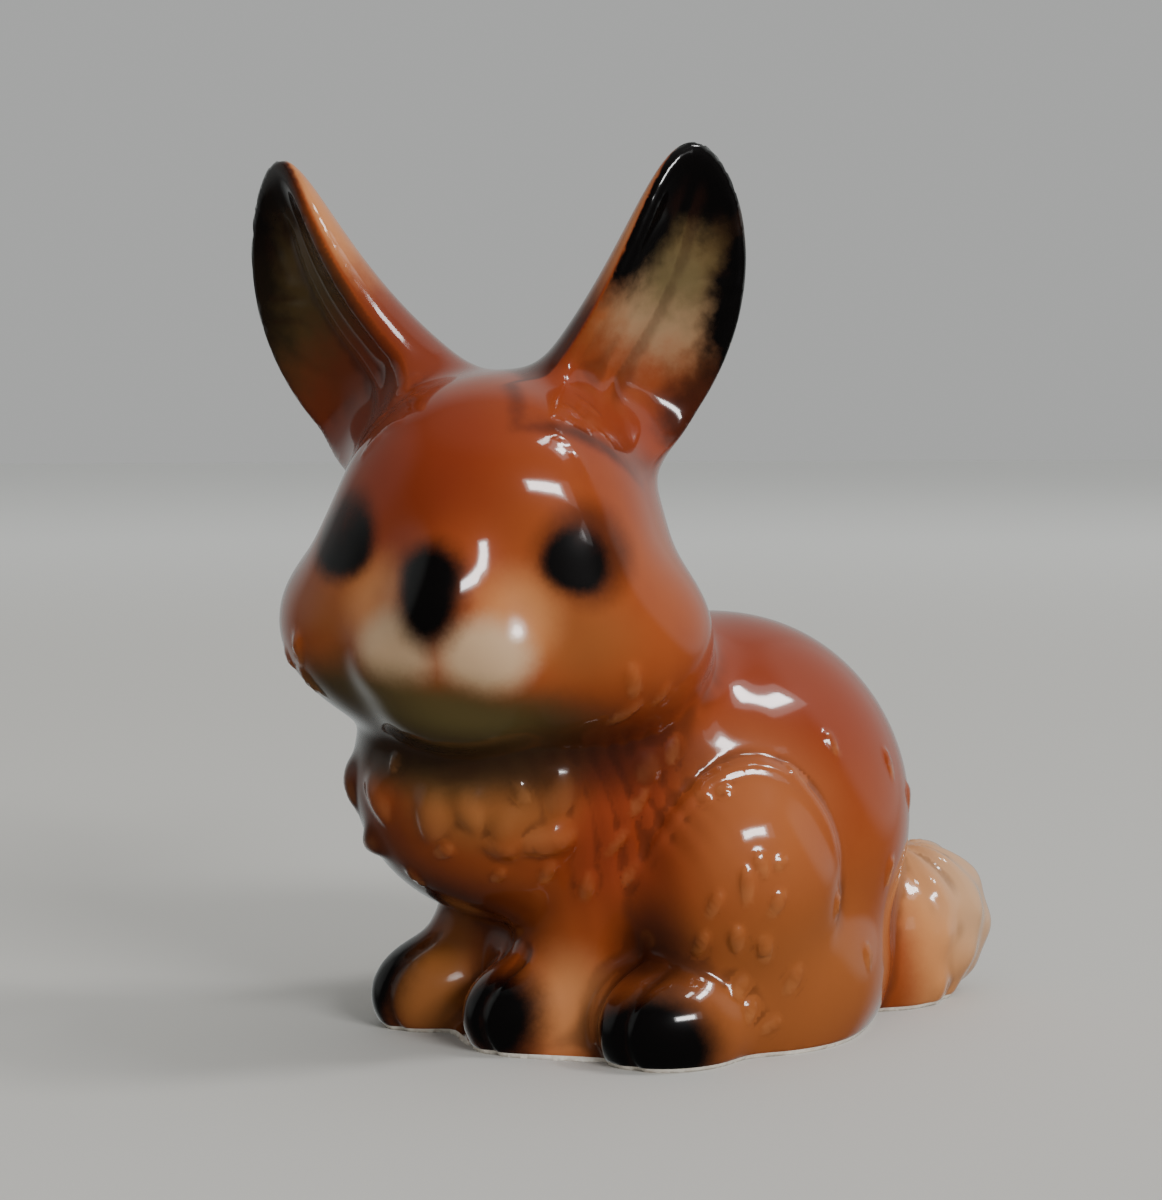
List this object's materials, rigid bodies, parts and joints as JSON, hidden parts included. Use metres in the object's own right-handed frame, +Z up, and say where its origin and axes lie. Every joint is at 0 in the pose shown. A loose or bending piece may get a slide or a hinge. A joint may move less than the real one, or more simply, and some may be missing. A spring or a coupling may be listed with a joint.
{
  "type": "hare figurine",
  "caption": "Small glazed porcelain figurine of a sitting hare with its head turned to its left, long upright ears and a short tail, standing on its own flat underside.",
  "frame": {"origin": "centre of the figure's plan outline box, on the flat underside", "axes": "+Z up, towards the ears; -Y the way the body faces; +X the hare's left side; the tail points to +Y"},
  "size_m": [0.0504, 0.0898, 0.1],
  "materials": {
    "glazed_porcelain": "glossy clear glaze over sprayed orange-brown, black and cream underglaze colours"
  },
  "bodies": {
    "root": {"hare": "glazed_porcelain"}
  },
  "joints": []
}
